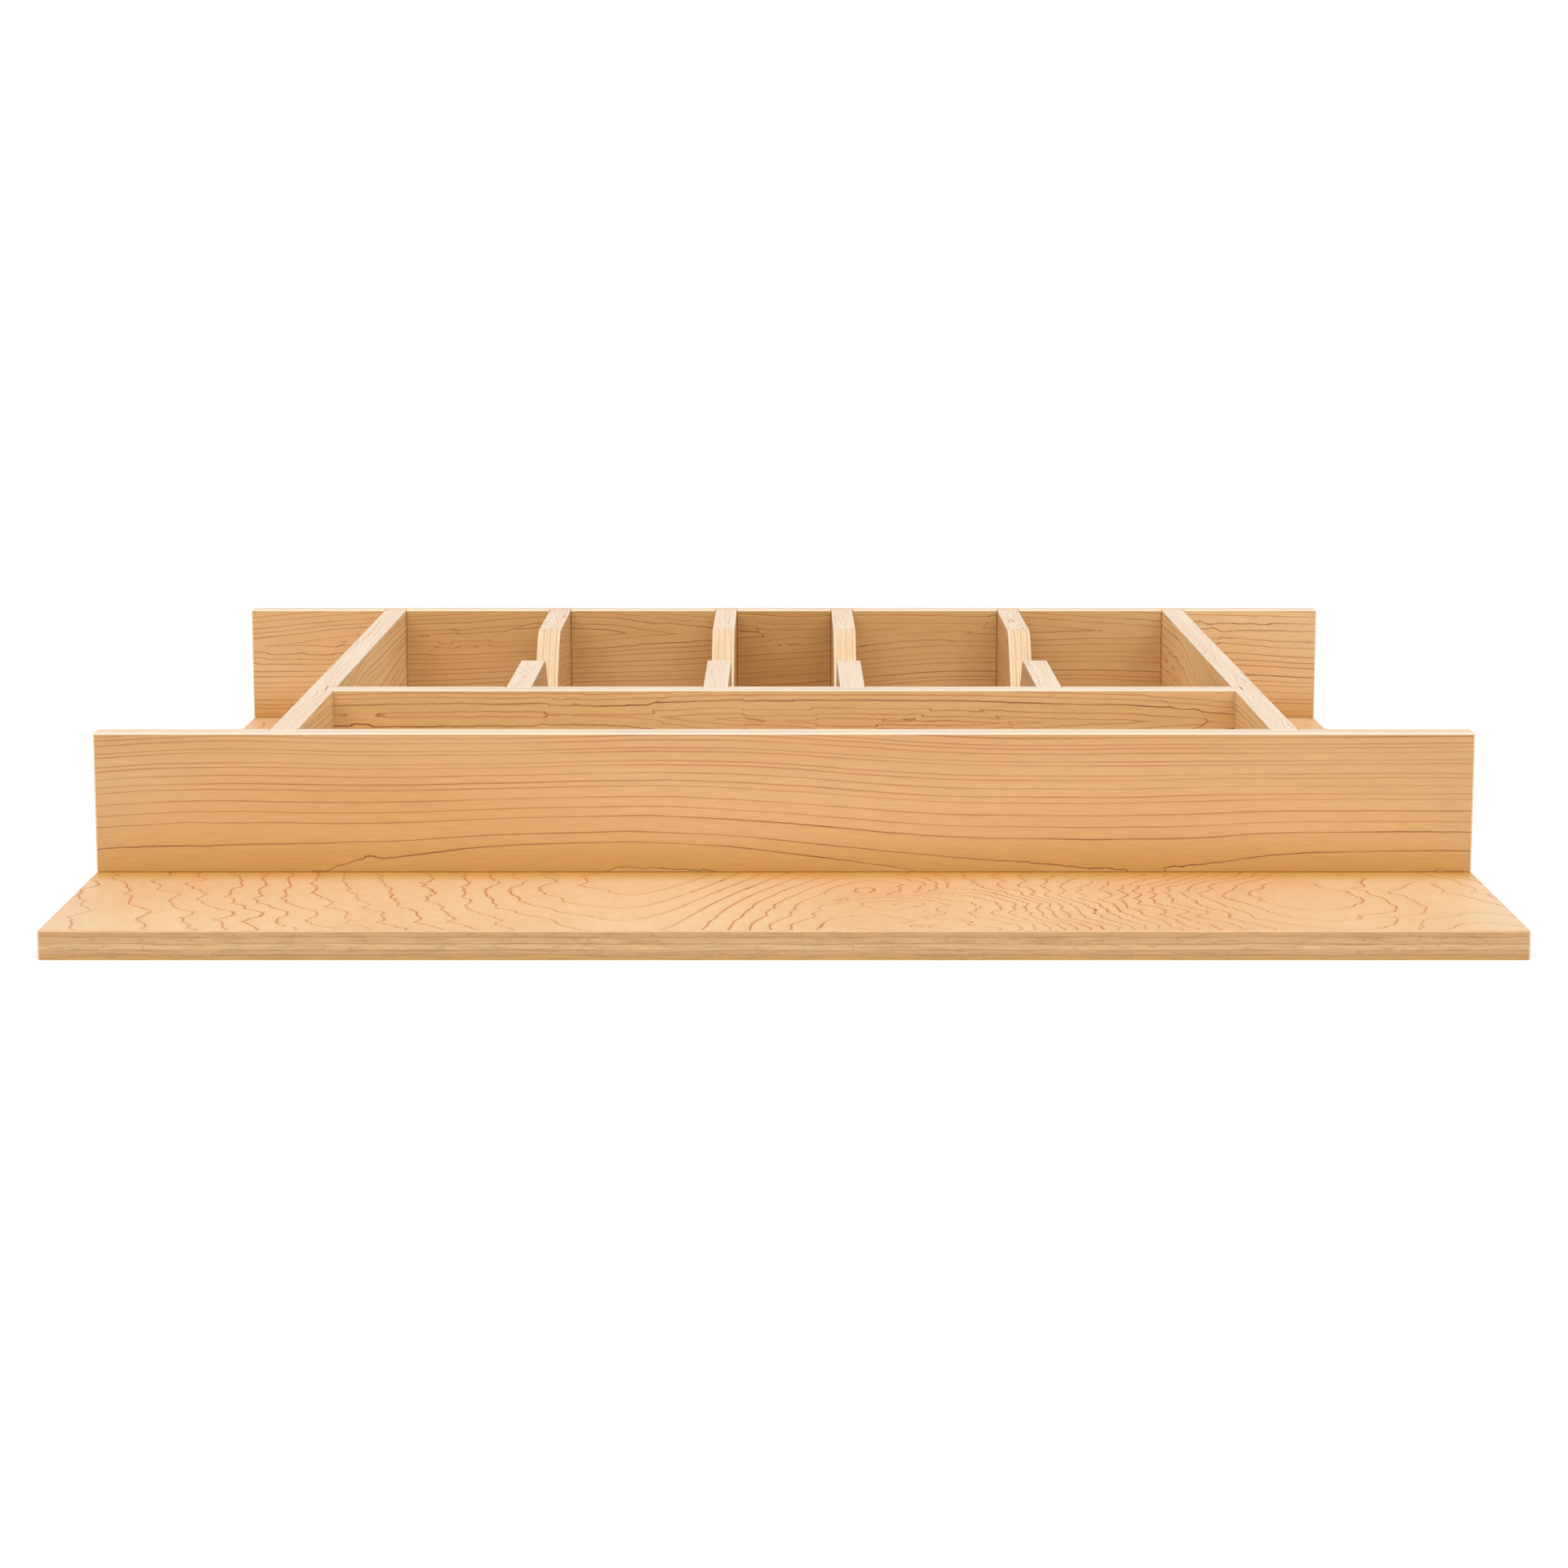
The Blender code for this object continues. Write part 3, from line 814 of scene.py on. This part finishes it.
def hole_cutter(profile):
    """One cutter with a hole of the given profile at each screw."""
    shape = bmesh.new()
    turns = [math.tau * step / HOLE_SIDES for step in range(HOLE_SIDES)]
    for x, y in screw_places():
        stack_rings(shape, [[(x + radius * math.cos(turn), y + radius * math.sin(turn), height)
                             for turn in turns] for radius, height in profile])
    bmesh.ops.recalc_face_normals(shape, faces=shape.faces)
    mesh = bpy.data.meshes.new("holes")
    shape.to_mesh(mesh)
    shape.free()
    return board_object("holes", mesh, ())


def drill(piece, profile):
    """Cut the screw holes that fall within a piece."""
    cutter = hole_cutter(profile)
    cut = piece.modifiers.new("screw_holes", "BOOLEAN")
    cut.operation = "DIFFERENCE"
    cut.solver = "EXACT"
    cut.object = cutter
    settle(piece)
    bpy.data.objects.remove(cutter)


def make_base():
    low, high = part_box("base_panel")
    outline = [(low.x, low.y), (high.x, low.y), (high.x, high.y), (low.x, high.y)]
    mesh = raised_board("base_panel", outline, low.z, high.z)
    centre = (low + high) / 2
    materials = (
        peeled_sheet("base_panel_face", centre),
        layered_edge("base_panel_edge", (low, high)),
        sanded_arris_and_highlight("base_panel_arris", 2.0, SHEET_DEEP, BASE_ARRIS),
    )
    piece = board_object("base_sheet", mesh, materials)
    ease_edges(piece)
    settle(piece)
    drill(piece, countersink_profile())
    paint_by_facing(piece, "Z")
    shade_curves(piece)
    place_in_frame(piece, ["base_panel"])


# ---------------------------------------------------------------- geometry nodes

def geometry_tree(name, sizes):
    """An empty geometry tree with a named input for each size, and one for the material."""
    inputs = {"Geometry": "Geometry", **dict.fromkeys(sizes, "Float"), "Material": "Material"}
    return new_tree(name, "GeometryNodeTree", inputs, {"Geometry": "Geometry"})


def finish_tree(wire, geometry, given, result):
    """Every tree ends in plain geometry with its material set."""
    real = wire.node("GeometryNodeRealizeInstances", {"Geometry": geometry})
    painted = wire.node("GeometryNodeSetMaterial", {"Geometry": real, "Material": given["Material"]})
    wire.feed(result["Geometry"], painted)


def chosen(wire, kind, index, values):
    """The one of these values that the index says."""
    chooser = wire.node("GeometryNodeIndexSwitch", data_type=kind)
    while len(chooser.index_switch_items) < len(values):
        chooser.index_switch_items.new()
    for socket, value in zip(chooser.inputs, (index, *values)):
        wire.feed(socket, value)
    return chooser.outputs[0]


def run_tree(piece, tree, values):
    """Put a geometry tree on a piece and set its inputs by their labels."""
    modifier = piece.modifiers.new(tree.name, "NODES")
    modifier.node_group = tree
    for item in tree.interface.items_tree:
        if item.item_type == "SOCKET" and item.in_out == "INPUT" and item.name in values:
            modifier[item.identifier] = values[item.name]


def make_divider_tree(sizes):
    """A long divider: a side outline with a rounded finger scoop, given its thickness."""
    wire, given, result = geometry_tree("scooped_divider", sizes)
    front, back, foot, top = (given[label] for label in ("Front", "Back", "Foot", "Top"))
    middle = given["Scoop Middle"]
    half_mouth = wire.times(given["Scoop Mouth"], 0.5)
    half_floor = wire.times(given["Scoop Floor"], 0.5)
    floor = wire.minus(top, given["Scoop Depth"])
    corners = (
        (front, foot),
        (back, foot),
        (back, top),
        (wire.plus(middle, half_mouth), top),
        (wire.plus(middle, half_floor), floor),
        (wire.minus(middle, half_floor), floor),
        (wire.minus(middle, half_mouth), top),
        (front, top),
    )
    first, last = 3, 6           # the scoop's own corners in that outline
    index = wire.node("GeometryNodeInputIndex").outputs[0]
    chain = wire.node("GeometryNodeMeshLine", {"Count": len(corners)})
    corner = chosen(wire, "VECTOR", index, [wire.whole(along, height) for along, height in corners])
    placed = wire.node("GeometryNodeSetPosition", {"Geometry": chain, "Position": corner})
    outline = wire.node("GeometryNodeMeshToCurve", {"Mesh": placed})
    closed = wire.node("GeometryNodeSetSplineCyclic", {"Geometry": outline, "Cyclic": True})
    off_scoop = wire.gap(index, (first + last) / 2)
    in_scoop = wire.math("LESS_THAN", off_scoop, (last - first + 1) / 2)
    radius = wire.times(given["Scoop Radius"], in_scoop)
    rounded = wire.node("GeometryNodeFilletCurve", {
        "Curve": closed, "Radius": radius, "Count": SCOOP_CORNER_STEPS}, mode="POLY")
    sheet = wire.node("GeometryNodeFillCurve", {"Curve": rounded}, mode="NGONS")
    thick = wire.node("GeometryNodeExtrudeMesh", {
        "Mesh": sheet, "Offset": wire.whole(z=1.0), "Offset Scale": given["Thickness"]}, mode="FACES")
    joined = wire.node("GeometryNodeJoinGeometry", {"Geometry": thick})
    wire.feed(joined.inputs["Geometry"], wire.node("GeometryNodeFlipFaces", {"Mesh": sheet}))
    welded = wire.node("GeometryNodeMergeByDistance", {"Geometry": joined, "Distance": WELD})
    stood = wire.node("GeometryNodeTransform", {
        "Geometry": welded, "Translation": wire.whole(given["Left"]),
        "Rotation": (math.radians(90), 0.0, math.radians(90))})
    finish_tree(wire, stood, given, result)
    return wire.tree


def divider_sizes(name):
    """What the divider tree is given for one divider."""
    low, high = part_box(name)
    bay_front, bay_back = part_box("cross_wall")[1].y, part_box("back_wall")[0].y
    return {
        "Front": low.y, "Back": high.y, "Foot": low.z, "Top": high.z, "Left": low.x,
        "Thickness": high.x - low.x, "Scoop Middle": (bay_front + bay_back) / 2 + SCOOP_SETBACK,
        "Scoop Mouth": SCOOP_MOUTH, "Scoop Floor": SCOOP_FLOOR, "Scoop Depth": SCOOP_DEPTH,
        "Scoop Radius": SCOOP_RADIUS,
    }


def make_dividers():
    tree = make_divider_tree(divider_sizes(DIVIDERS[0]))
    for name in DIVIDERS:
        low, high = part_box(name)
        materials = board_materials(name, "Y")
        piece = board_object(name + "_board", bpy.data.meshes.new(name), materials)
        run_tree(piece, tree, {**divider_sizes(name), "Material": materials[0]})
        settle(piece)
        while len(piece.data.materials) < len(materials):
            piece.data.materials.append(None)
        for index, material in enumerate(materials):
            piece.data.materials[index] = material
        mark_sharp_edges(piece, low.z)
        ease_edges(piece)
        settle(piece)
        drill(piece, pilot_profile())
        paint_by_facing(piece, "X", high.z)
        shade_curves(piece)
        place_in_frame(piece, [name])


def by_row(wire, row, values):
    """The value for a row: one for each row of the head, and the last for every row after it."""
    return chosen(wire, "FLOAT", wire.math("MINIMUM", row, len(values) - 1.0), values)


def make_screw_tree(sizes):
    """A countersunk wood screw at each point of the piece, head down, its thread a helix."""
    wire, given, result = geometry_tree("base_screws", sizes)
    sheet = wire.node("GeometryNodeMeshGrid", {
        "Size X": 1.0, "Size Y": 1.0, "Vertices X": SCREW_SIDES + 1, "Vertices Y": SCREW_ROWS})
    across, along, _ = wire.parts(wire.node("GeometryNodeInputPosition"))
    turn = wire.plus(across, 0.5)
    angle = wire.times(turn, math.tau)
    row = wire.math("ROUND", wire.times(wire.plus(along, 0.5), SCREW_ROWS - 1.0))
    head, shank, core = (wire.times(given[part + " Diameter"], 0.5) for part in ("Head", "Shank", "Core"))
    neck = wire.plus(given["Head Rim"], wire.minus(head, shank))
    below_neck = wire.minus(row, SCREW_HEAD_ROWS - 1.0)
    down = wire.math("DIVIDE", below_neck, float(SCREW_ROWS - SCREW_HEAD_ROWS))
    height = wire.times(down, wire.minus(given["Length"], neck), neck)
    wound = wire.minus(wire.math("DIVIDE", height, given["Pitch"]), turn)
    crest = wire.math("POWER", wire.times(wire.math("PINGPONG", wound, 0.5), 2.0), 2.0)
    thread = wire.times(crest, wire.minus(shank, core), core)
    to_point = wire.math("DIVIDE", wire.minus(given["Length"], height), given["Point Length"])
    to_point = wire.math("MINIMUM", wire.math("MAXIMUM", to_point, 0.0), 1.0)
    thread = wire.times(thread, wire.math("POWER", to_point, 0.8))
    radius = by_row(wire, row, (0.0, head, head, shank, thread))
    level = by_row(wire, row, (0.0, 0.0, given["Head Rim"], neck, height))
    x, y = (wire.times(radius, wire.math(wave, angle)) for wave in ("COSINE", "SINE"))
    place = wire.whole(x, y, level)
    rolled = wire.node("GeometryNodeSetPosition", {"Geometry": sheet, "Position": place})
    closed = wire.node("GeometryNodeMergeByDistance", {"Geometry": rolled, "Distance": WELD})
    cut = wire.node("GeometryNodeMeshBoolean", {"Mesh 1": closed}, operation="DIFFERENCE", solver="EXACT")
    for quarter in (0.0, 90.0):
        wire.feed(cut.inputs["Mesh 2"], recess_blade(wire, given, quarter))
    clean = wire.node("GeometryNodeMergeByDistance", {"Geometry": cut, "Distance": SCREW_RECESS_WELD})
    turns = wire.node("FunctionNodeRandomValue", data_type="FLOAT")
    numbers = [socket for socket in turns.inputs if socket.enabled and socket.name != "ID"]
    for socket, value in zip(numbers, (0.0, math.tau, SCREW_SEED)):
        socket.default_value = value
    turned_by = next(socket for socket in turns.outputs if socket.enabled)
    placed = wire.node("GeometryNodeInstanceOnPoints", {
        "Points": given["Geometry"], "Instance": clean, "Rotation": wire.whole(z=turned_by)})
    finish_tree(wire, placed, given, result)
    return wire.tree


def recess_blade(wire, given, quarter):
    """One tapered arm of the cross in the head: a flattened pyramid, its base just below the head."""
    width, depth = given["Recess Width"], given["Recess Depth"]
    blade = wire.node("GeometryNodeMeshCone", {
        "Vertices": 4, "Radius Bottom": wire.times(width, 0.6), "Radius Top": wire.times(width, 0.12),
        "Depth": wire.times(depth, 1.25)})
    thin = wire.math("DIVIDE", given["Recess Blade"], width)
    return wire.node("GeometryNodeTransform", {
        "Geometry": blade, "Scale": wire.whole(1.0, thin, 1.0),
        "Translation": wire.whole(z=wire.times(depth, -0.25)),
        "Rotation": (0.0, 0.0, math.radians(quarter))})


def make_screws():
    low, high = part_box(SCREWS[0])
    mesh = bpy.data.meshes.new("screw_points")
    mesh.from_pydata([(x, y, low.z) for x, y in screw_places()], [], [])
    piece = board_object("base_screws", mesh, ())
    sizes = {
        "Length": high.z - low.z, "Head Diameter": SCREW_HEAD, "Head Rim": SCREW_HEAD_RIM,
        "Shank Diameter": SCREW_SHANK, "Core Diameter": SCREW_CORE, "Pitch": SCREW_PITCH,
        "Point Length": SCREW_POINT, "Recess Width": SCREW_RECESS_WIDTH,
        "Recess Depth": SCREW_RECESS_DEPTH, "Recess Blade": SCREW_RECESS_BLADE,
    }
    run_tree(piece, make_screw_tree(sizes), {**sizes, "Material": zinc_steel("screw_zinc")})
    settle(piece)
    piece.data.shade_smooth()
    piece.data.set_sharp_from_angle(angle=SCREW_SHARP_ANGLE)
    place_in_frame(piece, SCREWS)


# ---------------------------------------------------------------- floor, light, camera

# The view: camera in front of the insert and above it
VIEW_DISTANCE = 1.5734       # from the middle of the insert, along Y
VIEW_HEIGHT = 0.3084
VIEW_PITCH = 8.22            # degrees below the horizon
VIEW_LENS = 74.46            # millimetres, on a 36 mm sensor
VIEW_SHIFT = -0.0753

FLOOR_RADIUS = 14.0
FLOOR_GLOW = 0.16            # lifts the paper to an even pale tone
WALL_TOP = 0.16              # sine of the elevation where the studio's bright walls end
WALL_FADE = 0.12
WALL_GLOW = 1.06
CEILING_GLOW = 0.44
KEY_AZIMUTH = 36.0           # degrees to each side of the front


def make_camera():
    data = bpy.data.cameras.new("camera")
    data.lens = VIEW_LENS
    data.sensor_width = 36.0
    data.shift_y = VIEW_SHIFT
    camera = bpy.data.objects.new("camera", data)
    camera.location = (0.0, -VIEW_DISTANCE, VIEW_HEIGHT)
    camera.rotation_euler = (math.radians(90 - VIEW_PITCH), 0.0, 0.0)
    bpy.context.scene.collection.objects.link(camera)
    bpy.context.scene.camera = camera


def make_floor():
    shape = bmesh.new()
    bmesh.ops.create_circle(shape, cap_ends=True, segments=64, radius=FLOOR_RADIUS)
    mesh = bpy.data.meshes.new("floor")
    shape.to_mesh(mesh)
    shape.free()
    material, wire = new_material("floor_paper")
    paper = wire.node("ShaderNodeBsdfPrincipled", {
        "Base Color": (0.94, 0.94, 0.94, 1.0), "Roughness": 0.9, "Specular IOR Level": 0.0,
        "Emission Color": (1.0, 1.0, 1.0, 1.0), "Emission Strength": FLOOR_GLOW})
    wire.node("ShaderNodeOutputMaterial", {"Surface": paper})
    floor = board_object("floor", mesh, (material,))
    floor.visible_diffuse = False


def soft_sun(name, strength, azimuth, elevation, softness):
    """A broad, even light from far off. Azimuth 0 is the front, 90 the right; softness in degrees."""
    data = bpy.data.lights.new(name, "SUN")
    data.energy = strength
    data.angle = math.radians(softness)
    sun = bpy.data.objects.new(name, data)
    sun.rotation_euler = (math.radians(90 - elevation), 0.0, math.radians(azimuth))
    bpy.context.scene.collection.objects.link(sun)


def make_light():
    """A pale studio: bright walls all round, a dimmer ceiling, two front keys and a back fill."""
    world = bpy.data.worlds.new("studio")
    bpy.context.scene.world = world
    world.use_nodes = True
    wire = Wiring(world.node_tree)
    _, _, up = wire.parts(wire.node("ShaderNodeTexCoord").outputs["Generated"])
    off_level = wire.math("ABSOLUTE", up)
    bright_wall = wire.fade(off_level, WALL_TOP, WALL_TOP + WALL_FADE, WALL_GLOW, CEILING_GLOW)
    background = world.node_tree.nodes["Background"]
    background.inputs["Color"].default_value = (1.0, 1.0, 1.0, 1.0)
    wire.feed(background.inputs["Strength"], bright_wall)
    for side, azimuth in (("left", -KEY_AZIMUTH), ("right", KEY_AZIMUTH)):
        soft_sun(side + "_key", 1.05, azimuth, 46.0, 44.0)
    soft_sun("fill", 0.50, 180.0, 60.0, 70.0)
    bpy.context.scene.view_settings.view_transform = "Standard"


FLAT_SAWN = make_flat_sawn_rings()
ROTARY_CUT = make_rotary_cut_rings()

for wall in WALLS:
    make_wall(wall)
make_dividers()
make_base()
make_screws()
make_floor()
make_light()
make_camera()
